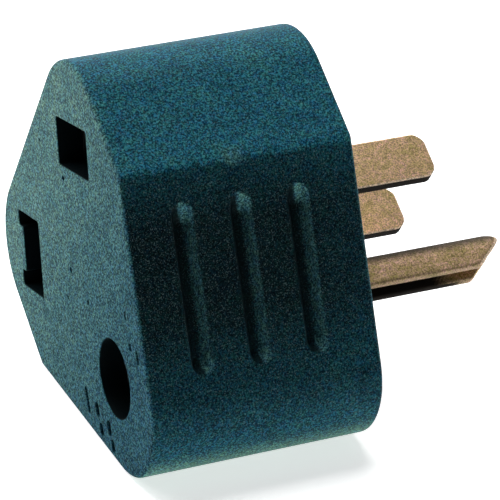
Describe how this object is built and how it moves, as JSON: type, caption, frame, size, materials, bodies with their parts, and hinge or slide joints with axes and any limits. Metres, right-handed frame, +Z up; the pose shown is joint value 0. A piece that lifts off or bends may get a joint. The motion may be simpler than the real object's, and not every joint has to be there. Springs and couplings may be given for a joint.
{
  "type": "plug-in power adapter",
  "caption": "Plug-in power adapter block: canted receptacle slots and a round ground hole in front, flat parallel blades and a channel-shaped ground pin behind.",
  "frame": {"origin": "middle of the bounding box in X and Y, at the surface that the adapter rests on", "axes": "+X the way the prongs point, +Z up when the adapter lies on its slanted neutral side, +Y completes the right-handed frame. Plugged in, its ground contact points along (0, -0.834, -0.552)."},
  "size_m": [0.0546, 0.05, 0.0456],
  "materials": {
    "body_moulding": "moulded dark blue-green vinyl, satin to matt, with a fine grain on the slanted sides",
    "core_plastic": "moulded black thermoset",
    "spacer_plastic": "cream insulating board",
    "contact_brass": "stamped spring brass",
    "prong_brass": "rolled brass with a dull satin surface",
    "pin_brass": "folded brass strip, slightly darker than the blades",
    "spring_steel": "bright spring steel",
    "fastener_steel": "zinc-plated steel"
  },
  "bodies": {
    "root": {"outer_body": "body_moulding", "front_cap": "core_plastic", "contact_carrier": "core_plastic", "strap_spacer": "spacer_plastic", "blade_bridge": "core_plastic", "hot_contact": "contact_brass", "neutral_contact": "contact_brass", "hot_spring": "spring_steel", "neutral_spring": "spring_steel", "ground_sleeve": "contact_brass", "ground_ring": "spring_steel", "hot_strap": "contact_brass", "neutral_strap": "contact_brass", "ground_strap": "contact_brass", "hot_blade": "prong_brass", "neutral_blade": "prong_brass", "ground_pin": "pin_brass", "contact_rivets": "fastener_steel", "blade_rivets": "fastener_steel", "core_screws": "fastener_steel"}
  },
  "joints": []
}
